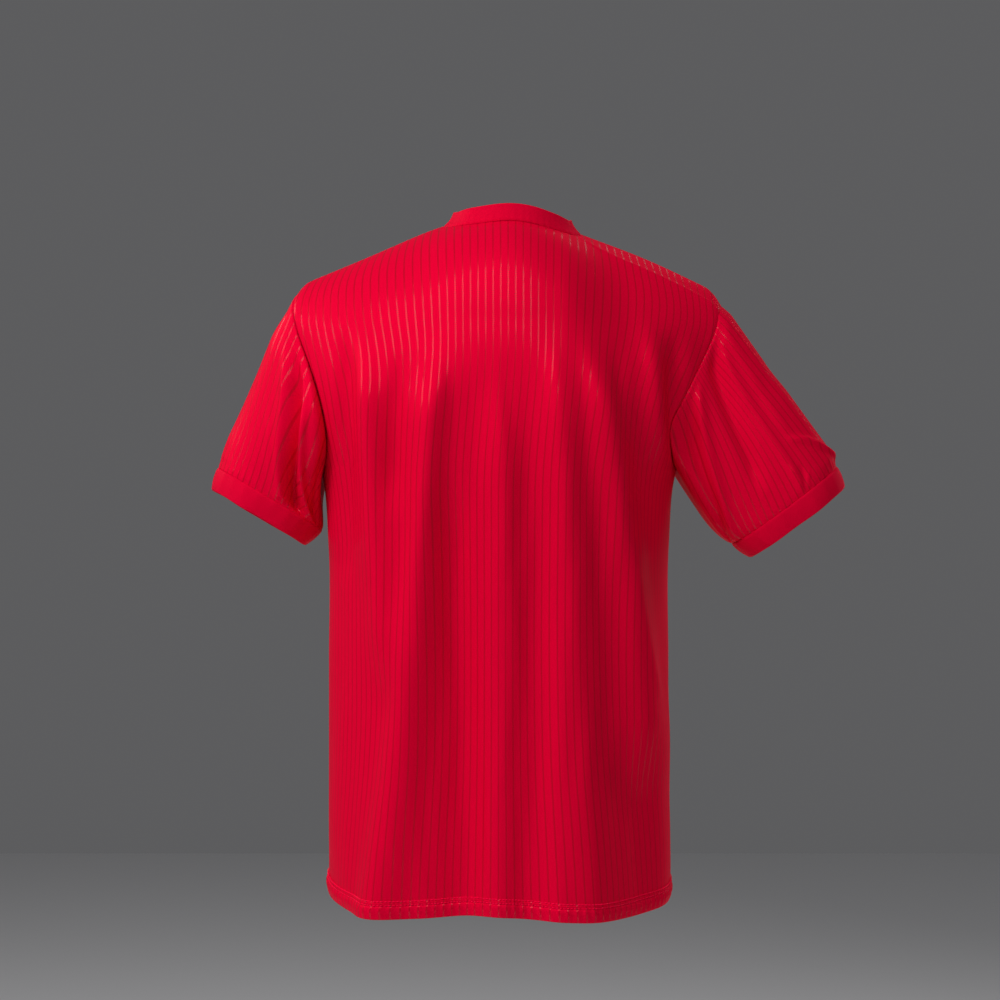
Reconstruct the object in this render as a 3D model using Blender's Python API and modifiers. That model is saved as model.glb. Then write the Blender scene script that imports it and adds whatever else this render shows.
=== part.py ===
"""Football jersey, worn: seven cut pieces of knit standing in the hollow form of a wearer.

Metres, +Z up, +X to the wearer's left, the chest towards -Y. The origin is the middle of the
shoulder line, level with the foot of the neck. Each piece is an open surface worked out from the
garment's cut: "across" is the distance from the grain line down its middle, "down" the distance
down the cloth from the neck point, and both are wrapped over the shoulders and round the body.
"""
import bpy
import numpy as np

# ---- Driving sizes, metres ----
CLOTH = 0.0015           # knit of the panels and sleeves
RIB = 0.0022             # doubled rib of the collar and cuffs
SEAM = 0.0006            # gap kept at a seam, on the outside
NECK_HALF = 0.0722       # half width of the neck hole
NECK_SHIFT = -0.0045     # the neck sits a little to the wearer's right
CHEST_QUARTER = 0.2675   # flat half width of one panel below the arms
UNDERARM_DROP = 0.252    # worn height of the underarm points below the origin
HEM_DROP = 0.708         # worn height of the hem at its lowest
HEM_RISE = 0.020         # how much higher the hem is at the side seams
SWAY = 0.0098            # the body of the shirt hangs this far to the wearer's left
SWAY_DROPS = (0.12, 0.28)      # where that begins and where it is complete
COLLAR_HEIGHT = 0.019
COLLAR_LEANS = ((0.70, 0.30), (0.25, 0.75))  # inwards and up, at the foot and at the top
COLLAR_NAPE = (0.45, 0.10)     # less of it inwards and more up at the nape, at foot and top
CUFF_WIDTH = 0.0235
CUFF_TAPER = 0.003       # how much the cuff draws in at its free edge, front and back
CAP_ROUND = 0.035        # how strongly the sleeves leave the shoulders before they fall
CAP_FALL = 0.2           # and their early fall, as a share of their length
NECK_SHARE = 0.32        # share of a panel's columns that end at the neck hole

BACK, FRONT = 1, -1
LEFT, RIGHT = 1, -1

# A shallow rise of the hem: where across a panel, from -1 to 1, how wide and how high.
HEM_LIFT = {BACK: (0.05, 0.27, 0.0075), FRONT: (-0.15, 0.30, 0.0050)}

# Drop of the neck hole's middle below the shoulder line, along the cloth.
NECK_DROP = {BACK: 0.058, FRONT: 0.125}

# Slope of the shoulder seams, and the radius that rounds them into each other under the neck.
SHOULDER_SLOPE = {LEFT: 0.436, RIGHT: 0.520}
ROOF_ROUND = 0.07
COLLAR_STAND = {LEFT: 0.0040, RIGHT: -0.0042}  # how far the neck's corners are raised
STAND_ROUND = 0.055            # and over what half width
LEFT_BLEND = (-0.05, 0.05)     # across the neck, from all right shoulder to all left
MIDDLE_BLEND = (0.05, 0.12)    # from all middle to all shoulder

# Shoulder tips from the middle. Past the shoulder bone the cloth droops, at this rate per metre.
TIP_HALF = {LEFT: 0.2215, RIGHT: 0.2245}
BONE_HALF = 0.206
DROOP = 35.0
DROOP_RUN = 0.06         # distance down from the seam in which the droop fades

# How the cloth turns down over the shoulders: at a distance from the seam, its lean from the
# vertical in degrees. Columns: distance, left shoulder, middle, right shoulder.
FALL = {
    BACK: np.array((
        (0.000, 89, 90, 87),
        (0.006, 85, 87, 68),
        (0.024, 70, 82, 55),
        (0.032, 65, 80, 36),
        (0.060, 46, 72, 30),
        (0.100, 27, 45, 24),
        (0.150, 12, 20, 14),
        (0.250, 0, 0, 0))),
    FRONT: np.array((
        (0.000, 89, 86, 89),
        (0.030, 68, 68, 70),
        (0.070, 44, 46, 46),
        (0.120, 26, 28, 26),
        (0.180, 12, 12, 12),
        (0.270, 0, 0, 0))),
}
FALL_END = 0.30          # the cloth hangs straight past this distance
SETTLING = 0.17          # distance over which the cloth takes up the body's section
SPREAD = 0.011           # how far it slides outwards on its way over the shoulders
SPREAD_SPAN = (0.03, 0.18)     # from where to where across the slide grows

# The lifted right arm draws the cloth beside it in: how far, at what drop, over what height,
# and from where across.
DRAWN_IN = 0.014
DRAWN_DROP = 0.150
DRAWN_HEIGHT = 0.060
DRAWN_SPAN = (0.09, 0.21)
DRAWN_START = (0, 0.03)        # and over what distance from the shoulder line that begins

# Folds fade out towards the side seams between these shares of a panel's half width.
SIDE_FADE = (0.86, 0.98)

# The body's sections. Columns: drop, half width, depth of the back, depth of the front,
# squareness (1 is round), share of the flat width that the middle of the panel takes up.
SECTIONS = np.array((
    (0.100, 0.2360, 0.118, 0.112, 2.0, 0.965),
    (0.170, 0.2220, 0.124, 0.120, 2.0, 0.940),
    (0.252, 0.1865, 0.127, 0.124, 1.7, 0.925),
    (0.330, 0.1785, 0.126, 0.123, 1.5, 0.910),
    (0.450, 0.1780, 0.124, 0.120, 1.5, 0.895),
    (0.550, 0.1780, 0.125, 0.121, 1.5, 0.920),
    (0.640, 0.1780, 0.128, 0.124, 1.5, 0.990),
    (0.720, 0.1765, 0.131, 0.127, 1.5, 1.040)))

# Cut of the armholes. Columns: share of the way from tip to underarm, half width.
ARMHOLE = {
    BACK: np.array(((0, 0.2195), (0.25, 0.2105), (0.5, 0.2050), (0.7, 0.2110),
                    (0.85, 0.2300), (1, 0.2675))),
    FRONT: np.array(((0, 0.2195), (0.25, 0.2030), (0.5, 0.1950), (0.7, 0.2030),
                     (0.85, 0.2260), (1, 0.2675))),
}

# The largest folds: a line down the cloth, + is a ridge and - a trough. Columns: drop of the
# head and of the foot, distance to the left at head, middle and foot, half width, height.
FOLDS = {
    BACK: (
        (0.09, 0.74, 0.082, 0.106, 0.146, 0.017, 0.0085),
        (0.29, 0.70, 0.072, 0.086, 0.106, 0.018, -0.0060),
        (0.13, 0.46, 0.147, 0.158, 0.172, 0.011, 0.0050),
        (0.24, 0.74, 0.018, 0.018, 0.024, 0.014, 0.0045),
        (0.16, 0.60, -0.007, -0.009, 0.000, 0.012, -0.0045),
        (0.11, 0.74, -0.042, -0.035, -0.055, 0.018, 0.0060),
        (0.13, 0.52, -0.062, -0.074, -0.096, 0.012, -0.0055),
        (0.12, 0.48, -0.087, -0.092, -0.116, 0.012, 0.0055),
        (0.15, 0.38, -0.105, -0.128, -0.150, 0.013, -0.0065),
        (0.09, 0.27, -0.144, -0.151, -0.160, 0.010, 0.0070),
        (0.10, 0.25, -0.172, -0.172, -0.172, 0.010, -0.0090),
        (0.40, 0.74, -0.120, -0.128, -0.120, 0.016, 0.0050)),
    FRONT: (
        (0.14, 0.74, 0.062, 0.078, 0.104, 0.018, 0.0075),
        (0.24, 0.70, 0.030, 0.036, 0.050, 0.016, -0.0050),
        (0.17, 0.74, -0.008, -0.004, 0.004, 0.016, 0.0050),
        (0.15, 0.74, -0.066, -0.080, -0.098, 0.018, 0.0070),
        (0.22, 0.66, -0.036, -0.042, -0.050, 0.015, -0.0050),
        (0.11, 0.40, 0.126, 0.136, 0.148, 0.013, 0.0055),
        (0.12, 0.42, -0.124, -0.134, -0.150, 0.013, 0.0055),
        (0.36, 0.74, 0.138, 0.140, 0.136, 0.016, 0.0045)),
}

# The sleeves. "mouth" is the middle of the cuff seam, "axis" the way the arm points there, and
# "half_width" and "half_depth" are half the seam's wide and narrow sizes. "under" is the way the
# cloth leaves the underarm and "lip" the way it enters the cuff there. "cuff_run" goes from the
# seam's middle to the middle of the cuff's free edge, which is "cuff_half_width" wide.
SLEEVES = {
    LEFT: dict(mouth=(0.2500, -0.004, -0.2825), axis=(0.510, 0.060, -0.860),
               half_width=0.0640, half_depth=0.0460, under=(0.75, 0.0, -0.15),
               lip=(0.46, 0.0, -0.89), cuff_half_width=0.0575, cuff_run=(0.0120, 0.001, -0.0200)),
    RIGHT: dict(mouth=(-0.2893, 0.004, -0.2888), axis=(-0.596, -0.020, -0.803),
                half_width=0.0685, half_depth=0.0470, under=(-0.46, 0.0, -0.89),
                lip=(-0.90, 0.0, -0.45), cuff_half_width=0.0625, cuff_run=(-0.0137, 0.0, -0.0185)),
}

# Sleeve folds. Columns: place round the armhole at its head and foot (0 tip, 0.5 underarm,
# then the front), start and end along the sleeve, half width round it, height.
SLEEVE_FOLDS = {
    LEFT: (
        (0.16, 0.20, 0.10, 1.10, 0.030, 0.0050),
        (0.24, 0.27, 0.15, 1.10, 0.026, -0.0050),
        (0.36, 0.34, -0.2, 0.80, 0.035, -0.0060),
        (0.00, 0.00, 0.13, 1.05, 0.100, 0.0060),
        (0.82, 0.80, 0.10, 1.10, 0.035, 0.0050),
        (0.70, 0.72, 0.10, 1.10, 0.030, -0.0045)),
    RIGHT: (
        (0.10, 0.14, 0.05, 0.95, 0.026, 0.0050),
        (0.17, 0.21, 0.15, 1.10, 0.024, -0.0050),
        (0.27, 0.29, 0.10, 1.10, 0.030, 0.0050),
        (0.02, 0.02, -0.10, 0.60, 0.090, 0.0030),
        (0.02, 0.02, 0.45, 1.10, 0.090, 0.0045),
        (0.84, 0.82, 0.10, 1.10, 0.035, 0.0050),
        (0.72, 0.74, 0.10, 1.10, 0.030, -0.0045)),
}

# Colours, linear RGB.
KNIT_RED = (0.60, 0.004, 0.022)
RIB_RED = (0.56, 0.004, 0.026)


# ---- Curves ----
def smooth(x):
    """Rise from 0 to 1 with level ends."""
    x = np.clip(x, 0.0, 1.0)
    return x * x * (3 - 2 * x)


def rise(x, span):
    """The same between the two ends of a span."""
    return smooth((x - span[0]) / (span[1] - span[0]))


def through(table, column, x):
    """Smooth curve through one column of a table whose first column is the place."""
    at = table[:, 0]
    value = table[:, column]
    slope = np.gradient(value, at)
    x = np.clip(x, at[0], at[-1])
    i = np.clip(np.searchsorted(at, x, side="right") - 1, 0, len(at) - 2)
    step = at[i + 1] - at[i]
    u = (x - at[i]) / step
    start = (1 + 2 * u) * (1 - u) ** 2 * value[i] + u * (1 - u) ** 2 * step * slope[i]
    end = u ** 2 * (3 - 2 * u) * value[i + 1] + u ** 2 * (u - 1) * step * slope[i + 1]
    return start + end


GAUSS_AT, GAUSS_WEIGHT = np.polynomial.legendre.leggauss(12)


def turned(share, squareness):
    """Point of a unit-length curve that turns a right angle, later if its squareness is more."""
    at = (GAUSS_AT + 1) / 2
    angle = np.pi / 2 * (share[..., None] * at) ** squareness[..., None]
    along = (np.cos(angle) * GAUSS_WEIGHT).sum(-1) / 2 * share
    aside = (np.sin(angle) * GAUSS_WEIGHT).sum(-1) / 2 * share
    return along, aside


def unit(vector):
    return vector / np.linalg.norm(vector, axis=-1, keepdims=True)


# ---- The body of the shirt ----
def roof(across):
    """Drop and lean of the shoulder line over a grain line."""
    x = across - NECK_SHIFT
    slope = (SHOULDER_SLOPE[RIGHT]
             + (SHOULDER_SLOPE[LEFT] - SHOULDER_SLOPE[RIGHT]) * rise(x, LEFT_BLEND))
    reach = np.hypot(x, ROOF_ROUND)
    drop = slope * (reach - np.hypot(NECK_HALF, ROOF_ROUND))
    stand = sum(raised_by * np.exp(-((x - side * NECK_HALF) / STAND_ROUND) ** 2)
                for side, raised_by in COLLAR_STAND.items())
    return drop - stand, np.arctan(slope * x / reach)


def over_shoulder(face, across, distance):
    """Share of the full depth, and drop, of the cloth at a distance from the shoulder line."""
    table = FALL[face]
    at = np.linspace(0, FALL_END, 601)
    middle = 1 - rise(np.abs(across - NECK_SHIFT), MIDDLE_BLEND)
    left = rise(across - NECK_SHIFT, LEFT_BLEND)
    depth, drop = 0, 0
    for column, weight in ((1, left * (1 - middle)), (2, middle), (3, (1 - left) * (1 - middle))):
        lean = np.radians(np.interp(at, table[:, 0], table[:, column]))
        out = np.cumsum(np.sin(lean)) * at[1]
        down = np.cumsum(np.cos(lean)) * at[1]
        depth = depth + weight * np.interp(distance, at, out) / out[-1]
        drop = drop + weight * np.interp(distance, at, down)
    return depth, drop + np.maximum(distance - FALL_END, 0)


def fold_height(folds, x, drop):
    """Sum of the folds at a place: soft ridges and troughs along gently bent lines."""
    total = np.zeros_like(x)
    for head, foot, x_head, x_middle, x_foot, half_width, height in folds:
        t = (drop - head) / (foot - head)
        line = (x_head * (1 - t) * (1 - 2 * t) + 4 * x_middle * t * (1 - t)
                + x_foot * t * (2 * t - 1))
        ends = smooth((drop - head) / 0.08) * smooth((foot - drop) / 0.08)
        total += height * ends * np.exp(-((x - line) / half_width) ** 2)
    return total


def bare_body(face, across, down):
    """The worn place of a point of the cut, before folds."""
    roof_drop, lean = roof(across)
    distance = np.maximum((down - roof_drop) * np.cos(lean), 0)
    share, fallen = over_shoulder(face, across, distance)
    spent = distance - fallen                     # cloth used in going over the shoulder
    drop = down - spent * np.cos(lean)
    half, depth, squareness, gather = (
        through(SECTIONS, i, drop) for i in (1, 2 if face == BACK else 3, 4, 5))
    full_along, full_aside = turned(np.ones_like(across), squareness)
    quarter = half / full_along
    x = np.abs(across)
    taken = gather + (quarter / CHEST_QUARTER - gather) * np.minimum(x / CHEST_QUARTER, 1) ** 3
    settled = smooth(distance / SETTLING)
    spread = SPREAD * rise(x, SPREAD_SPAN) * rise(distance, (0, 0.07))
    spread = spread * (1 - rise(distance, (0.08, 0.18)))
    girth = x * (1 + (taken - 1) * settled) + spread
    along, aside = turned(np.clip(girth / quarter, 0, 1), squareness)
    worn_x = girth + (half * along / full_along - girth) * settled
    worn_y = depth * (1 - aside / full_aside) * share
    worn_x = np.sign(across) * worn_x + SWAY * rise(drop, SWAY_DROPS)
    drawn_in = DRAWN_IN * np.exp(-((drop - DRAWN_DROP) / DRAWN_HEIGHT) ** 2)
    worn_x = worn_x + drawn_in * rise(-across, DRAWN_SPAN) * rise(distance, DRAWN_START)
    droop = DROOP * np.maximum(x - BONE_HALF, 0) ** 2 * (1 - smooth(distance / DROOP_RUN))
    return np.stack((worn_x, face * worn_y, -drop - droop), -1)


def body(face, across, down):
    """The worn place of a point of the cut, with the folds raised square to the cloth."""
    step = 0.002
    place = bare_body(face, across, down)
    along = bare_body(face, across + step, down) - bare_body(face, across - step, down)
    fall = bare_body(face, across, down + step) - place
    normal = face * unit(np.cross(along, fall))
    side_fade = 1 - rise(np.abs(across) / CHEST_QUARTER, SIDE_FADE)
    height = fold_height(FOLDS[face], place[..., 0], -place[..., 2]) * side_fade
    return place + normal * height[..., None]


def top_edge(face, c):
    """Cut of a panel's top, c from -1 to 1: half an ellipse for the neck, then the shoulders."""
    sign = np.where(c < 0, -1.0, 1.0)
    part = np.minimum(np.abs(c) / NECK_SHARE, 1) * np.pi / 2
    neck_point = NECK_SHIFT + sign * NECK_HALF
    tip = np.where(c < 0, -TIP_HALF[RIGHT], TIP_HALF[LEFT])
    past = np.maximum(np.abs(c) - NECK_SHARE, 0) / (1 - NECK_SHARE)
    across = NECK_SHIFT + sign * NECK_HALF * np.sin(part) + (tip - neck_point) * past
    drop, lean = roof(across)
    return across, drop + NECK_DROP[face] * np.cos(part) / np.cos(lean)


def cut(face, c, r):
    """Flat place of a panel's point: c across from -1 to 1, r down with 1 at the underarms.

    The grain lines follow the armhole at c = 1 or -1 and run straighter towards the middle.
    """
    top_across, top_down = top_edge(face, c)
    share = np.clip(r, 0, 1)
    reach = np.sin(np.pi / 2 * share)
    def grain(arm_half):
        return c * (CHEST_QUARTER + (arm_half - CHEST_QUARTER) * c ** 2)
    across = grain(through(ARMHOLE[face], 1, share))
    across = across + (1 - reach) * (top_across - grain(ARMHOLE[face][0, 1]))
    fallen = over_shoulder(face, across, np.full_like(across, FALL_END))[1]
    spent = (FALL_END - fallen) * np.cos(roof(across)[1])
    down = top_down + (UNDERARM_DROP + spent - top_down) * reach
    middle, half_width, lift = HEM_LIFT[face]
    hem = HEM_DROP - HEM_RISE * np.abs(c) ** 3 - lift * np.exp(-((c - middle) / half_width) ** 2)
    return across, down + (hem - UNDERARM_DROP) * np.clip(r - 1, 0, 1)


# ---- Meshes ----
def sheet(name, rows, thickness, material, closed):
    """A named object from a grid of points, its outside outwards, thickened inwards."""
    count, width = rows.shape[:2]
    row = np.arange(count - 1)[:, None] * width
    column = np.arange(width if closed else width - 1)[None, :]
    after = (column + 1) % width
    faces = np.stack((row + column, row + width + column, row + width + after, row + after), -1)
    mesh = bpy.data.meshes.new(name)
    mesh.from_pydata(rows.reshape(-1, 3).tolist(), [], faces.reshape(-1, 4).tolist())
    mesh.materials.append(material)
    mesh.shade_smooth()
    thing = bpy.data.objects.new(name, mesh)
    jersey.objects.link(thing)
    wall = thing.modifiers.new("wall", "SOLIDIFY")
    wall.thickness = thickness
    wall.offset = -1
    return thing


def finish(name, colour, roughness):
    material = bpy.data.materials.new(name)
    material.use_nodes = True
    shader = material.node_tree.nodes["Principled BSDF"]
    shader.inputs["Base Color"].default_value = (*colour, 1)
    shader.inputs["Roughness"].default_value = roughness
    shader.inputs["Metallic"].default_value = 0.0
    return material


def spaced(count, thin):
    """Even steps from 0 to 1, with one thin step added at the start."""
    return np.concatenate(([0, thin], np.linspace(0, 1, count + 1)[1:]))


# ---- Start with an empty scene ----
for thing in list(bpy.data.objects):
    bpy.data.objects.remove(thing, do_unlink=True)
jersey = bpy.data.collections.new("football_jersey")
bpy.context.scene.collection.children.link(jersey)
knit = finish("red_knit", KNIT_RED, 0.5)
rib = finish("red_rib", RIB_RED, 0.7)

# ---- Front and back panels ----
ARM_ROWS = spaced(10, 0.015)
NECK_COLUMNS = {BACK: 7, FRONT: 6}          # of half a panel, ending at the neck hole
SHOULDER_COLUMNS = {BACK: 11, FRONT: 9}     # of half a panel, ending at the shoulder seam
BODY_ROWS = {BACK: 13, FRONT: 10}           # below the underarms
for name, face in (("back_panel", BACK), ("front_panel", FRONT)):
    neck = np.linspace(0, NECK_SHARE, NECK_COLUMNS[face] + 1)
    shoulder = 1 - (1 - NECK_SHARE) * spaced(SHOULDER_COLUMNS[face], 0.018)[::-1]
    half = np.concatenate((neck[:-1], shoulder))
    c = np.concatenate((-half[:0:-1], half)) * (1 - SEAM / 2 / CHEST_QUARTER)
    r = np.concatenate((ARM_ROWS, np.linspace(1, 2, BODY_ROWS[face] + 1)[1:]))
    across, down = cut(face, *np.meshgrid(c, r))
    rows = body(face, across, down + SEAM / 2)
    sheet(name, rows[:, ::-face], CLOTH, knit, closed=False)


# ---- Sleeves ----
def edge(face, flat_curve, s, low, high, turn):
    """Worn edge of a panel along a curve of its cut, and the way out of the panel there.

    At the ends of the curve, past low and high, the way out is that of the nearest place inside.
    """
    step = 0.001
    inner = np.clip(s, low, high)
    run = np.array(flat_curve(inner + step)) - np.array(flat_curve(inner - step))
    run_across, run_down = step * turn * run / np.hypot(*run)
    across, down = flat_curve(inner)
    way_out = body(face, across + run_down, down - run_across) - body(face, across, down)
    return body(face, *flat_curve(s)), unit(way_out)


def armhole(side, v):
    """Edge and way out round an armhole: v is 0 at the tip, 0.5 at the underarm."""
    halves = []
    for face, share in ((BACK, 2 * v[v <= 0.5]), (FRONT, 2 - 2 * v[v > 0.5])):
        def flat_curve(s):
            return cut(face, np.full_like(s, side), s)
        halves.append(edge(face, flat_curve, share, 0.03, 0.99, side))
    return [np.concatenate(parts) for parts in zip(*halves)]


def mouth(side, v, half_width, half_depth):
    """Oval round the arm's axis, its wide side towards the shoulder tip, seen from its middle."""
    axis = unit(np.array(SLEEVES[side]["axis"]))
    depthwise = unit(np.array((0, 1, 0)) - axis * axis[1])
    tipwise = np.cross(axis, depthwise) * side
    angle = 2 * np.pi * v[:, None]
    return tipwise * half_width * np.cos(angle) + depthwise * half_depth * np.sin(angle)


def sleeve(side, v, t):
    """Rows of a sleeve: from each point of the armhole one cubic runs to the cuff seam."""
    size = SLEEVES[side]
    start, way_out = armhole(side, v)
    start = start + way_out * SEAM
    end = np.array(size["mouth"]) + mouth(side, v, size["half_width"], size["half_depth"])
    chord = end - start
    length = np.linalg.norm(chord, axis=1)[:, None]
    under = (np.sin(np.pi * v) ** 3)[:, None]
    leave = ((1 - under) * (way_out * CAP_ROUND + chord * CAP_FALL)
             + under * length * unit(np.array(size["under"])))
    enter = length * unit((1 - under) * unit(np.array(size["axis"]))
                          + under * unit(np.array(size["lip"])))
    t = t[:, None, None]
    rows = (start + (3 * t ** 2 - 2 * t ** 3) * chord + t * (1 - t) ** 2 * leave
            + t ** 2 * (t - 1) * enter)
    return raised(rows, sleeve_fold_height(side, v, t[:, :, 0]), side)


def sleeve_fold_height(side, v, t):
    total = np.zeros((len(t), len(v)))
    for v_head, v_foot, t_head, t_foot, half_width, height in SLEEVE_FOLDS[side]:
        line = v_head + (v_foot - v_head) * t
        ends = smooth((t - t_head) / 0.25) * smooth((t_foot - t) / 0.25)
        away = (v - line + 0.5) % 1 - 0.5
        total += height * ends * np.exp(-(away / half_width) ** 2)
    return total * smooth(t / 0.15)


def raised(rows, height, side):
    """A closed grid with each point moved out of the surface by its height."""
    round_it = np.roll(rows, -1, axis=1) - np.roll(rows, 1, axis=1)
    along = np.gradient(rows, axis=0)
    return rows + side * unit(np.cross(along, round_it)) * height[..., None]


ROUND = np.concatenate((ARM_ROWS / 2, 1 - ARM_ROWS[-2:0:-1] / 2))
SLEEVE_ROWS = np.array((0, 0.03, 0.11, 0.22, 0.34, 0.46, 0.58, 0.70, 0.83, 0.96, 1))
for side, word in ((LEFT, "left"), (RIGHT, "right")):
    rows = sleeve(side, ROUND, SLEEVE_ROWS)
    sheet("sleeve_" + word, rows[:, ::side], CLOTH, knit, closed=True)


# ---- Cuffs ----
def cuff(side, v, t):
    """Rows of a cuff: the sleeve's oval, drawn in towards its free edge."""
    size = SLEEVES[side]
    rows = []
    for share in t:
        half_width = size["half_width"] + (size["cuff_half_width"] - size["half_width"]) * share ** 2
        half_depth = size["half_depth"] - CUFF_TAPER * share ** 2
        middle = np.array(size["mouth"]) + np.array(size["cuff_run"]) * share
        rows.append(middle + mouth(side, v, half_width, half_depth))
    return np.array(rows)


for side, word in ((LEFT, "left"), (RIGHT, "right")):
    rows = cuff(side, ROUND, np.array((SEAM / CUFF_WIDTH, 0.3, 1.0)))
    sheet("cuff_" + word, rows[:, ::side], RIB, rib, closed=True)


# ---- Collar ----
def collar(t):
    """Rows of the collar: from the neck hole's edge it leans in, then stands up."""
    bases, ways = [], []
    for face in (BACK, FRONT):
        def flat_curve(s):
            return top_edge(face, NECK_SHARE * s)
        round_half = face * np.linspace(1, -1, 2 * NECK_COLUMNS[face] + 1)[:-1]
        place, way_out = edge(face, flat_curve, round_half, -0.97, 0.97, 1)
        bases.append(place)
        ways.append(way_out)
    base, way_out = np.concatenate(bases), np.concatenate(ways)
    up = np.array((0, 0, 1))
    nape = np.maximum(-way_out[:, 1:2], 0) ** 2
    low, high = (unit((inward - less * nape) * way_out + (rising + less * nape) * up)
                 for (inward, rising), less in zip(COLLAR_LEANS, COLLAR_NAPE))
    t = t[:, None, None]
    return base + SEAM * way_out + COLLAR_HEIGHT * (t * (1 - t / 2) * low + t ** 2 / 2 * high)


sheet("collar", collar(np.array((0, 0.5, 1.0)))[:, ::-1], RIB, rib, closed=True)
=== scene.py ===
"""Football jersey, worn: seven cut pieces of tonal-striped knit and rib, in soft studio light.

Metres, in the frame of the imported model: +Z up, +X to the wearer's left, the chest towards -Y.
"""

import bpy
import numpy as np
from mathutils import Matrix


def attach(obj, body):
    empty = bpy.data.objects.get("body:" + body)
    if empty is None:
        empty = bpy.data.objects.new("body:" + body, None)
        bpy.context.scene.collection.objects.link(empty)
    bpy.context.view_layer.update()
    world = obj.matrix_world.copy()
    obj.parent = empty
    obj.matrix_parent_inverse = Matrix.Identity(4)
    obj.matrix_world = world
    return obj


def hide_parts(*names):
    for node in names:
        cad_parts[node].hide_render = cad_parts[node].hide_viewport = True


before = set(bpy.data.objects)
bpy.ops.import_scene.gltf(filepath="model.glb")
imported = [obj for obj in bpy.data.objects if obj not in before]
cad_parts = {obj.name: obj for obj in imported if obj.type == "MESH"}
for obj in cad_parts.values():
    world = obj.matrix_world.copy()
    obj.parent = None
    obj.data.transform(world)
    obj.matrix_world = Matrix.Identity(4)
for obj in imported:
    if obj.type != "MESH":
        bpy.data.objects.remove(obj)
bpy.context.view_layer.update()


# ---- The studio ----
# A pale floor well below the hem, and softboxes: key and overhead for the back, fill and edge
# light for the right side, side light for the left, and two small ones that the shoulders mirror.
# The camera stands square behind.
EYE_PLACE = (0.0084, 2.8, -0.2835)
EYE_LENS = 96.0              # millimetres, on a sensor of this width
EYE_SENSOR = 36.0
ROOM_GREY = (0.60, 0.60, 0.62, 1)
ROOM_STRENGTH = 0.18

scene = bpy.context.scene
scene.view_settings.view_transform = "Standard"

eye = bpy.data.cameras.new("eye")
eye.lens = EYE_LENS
eye.sensor_width = EYE_SENSOR
camera = bpy.data.objects.new("eye", eye)
camera.location = EYE_PLACE
camera.rotation_euler = (np.pi / 2, 0, np.pi)
scene.collection.objects.link(camera)
scene.camera = camera

world = bpy.data.worlds.new("room")
world.use_nodes = True
world.node_tree.nodes["Background"].inputs["Color"].default_value = ROOM_GREY
world.node_tree.nodes["Background"].inputs["Strength"].default_value = ROOM_STRENGTH
scene.world = world

# Columns: name, place, aim, width and height in metres, watts, colour, and whether the cloth
# mirrors it. Those that it doesn't mirror only light it, as through a wide diffusion screen.
SOFTBOXES = (
    ("key", (2.0, 1.75, 1.55), (0.0, 0.0, -0.25), 1.2, 1.6, 59.0, (1.0, 1.0, 1.0), False),
    ("fill", (-2.4, 1.8, 0.2), (0.0, 0.0, -0.40), 1.2, 1.2, 5.5, (1.0, 1.0, 1.0), False),
    ("overhead", (0.5, 2.0, 1.6), (0.0, 0.05, -0.15), 3.0, 1.2, 34.5, (1.0, 0.99, 0.97), True),
    ("side", (2.5, -0.3, 1.1), (0.3, 0.0, -0.20), 3.6, 0.80, 28.0, (1.0, 1.0, 1.0), True),
    ("rim", (-2.2, -1.9, 0.4), (-0.25, 0.0, -0.20), 0.3, 1.2, 3.0, (1.0, 0.98, 0.96), True),
    ("edge", (-2.2, -1.6, 0.90), (-0.25, 0.0, -0.30), 0.5, 1.4, 34.0, (1.0, 0.98, 0.97), False),
    ("crown", (-1.0, -1.7, 1.6), (-0.20, 0.0, -0.10), 0.7, 0.4, 1.1, (1.0, 0.98, 0.96), True),
)
for name, place, aim, width, height, watts, colour, mirrored in SOFTBOXES:
    lamp = bpy.data.lights.new(name, "AREA")
    lamp.shape = "RECTANGLE"
    lamp.size = width
    lamp.size_y = height
    lamp.energy = watts
    lamp.color = colour
    box = bpy.data.objects.new(name, lamp)
    box.location = place
    box.visible_glossy = mirrored
    toward = np.array(aim) - np.array(place)
    box.rotation_euler = (
        np.arctan2(np.hypot(toward[0], toward[1]), -toward[2]), 0,
        np.arctan2(-toward[0], toward[1]))
    scene.collection.objects.link(box)

FLOOR_DROP = 1.45
FLOOR_HALF = 6.0
FLOOR_GREY = (0.72, 0.72, 0.73, 1)
FLOOR_ROUGH = 0.9
FLOOR_CORNERS = ((-1, -1), (1, -1), (1, 1), (-1, 1))
floor_mesh = bpy.data.meshes.new("floor")
floor_mesh.from_pydata(
    [(x * FLOOR_HALF, y * FLOOR_HALF, -FLOOR_DROP) for x, y in FLOOR_CORNERS], [], [(0, 1, 2, 3)])
floor = bpy.data.objects.new("floor", floor_mesh)
scene.collection.objects.link(floor)
floor_paint = bpy.data.materials.new("floor_paint")
floor_paint.use_nodes = True
floor_shader = floor_paint.node_tree.nodes["Principled BSDF"]
floor_shader.inputs["Base Color"].default_value = FLOOR_GREY
floor_shader.inputs["Roughness"].default_value = FLOOR_ROUGH
floor_mesh.materials.append(floor_paint)


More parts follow.
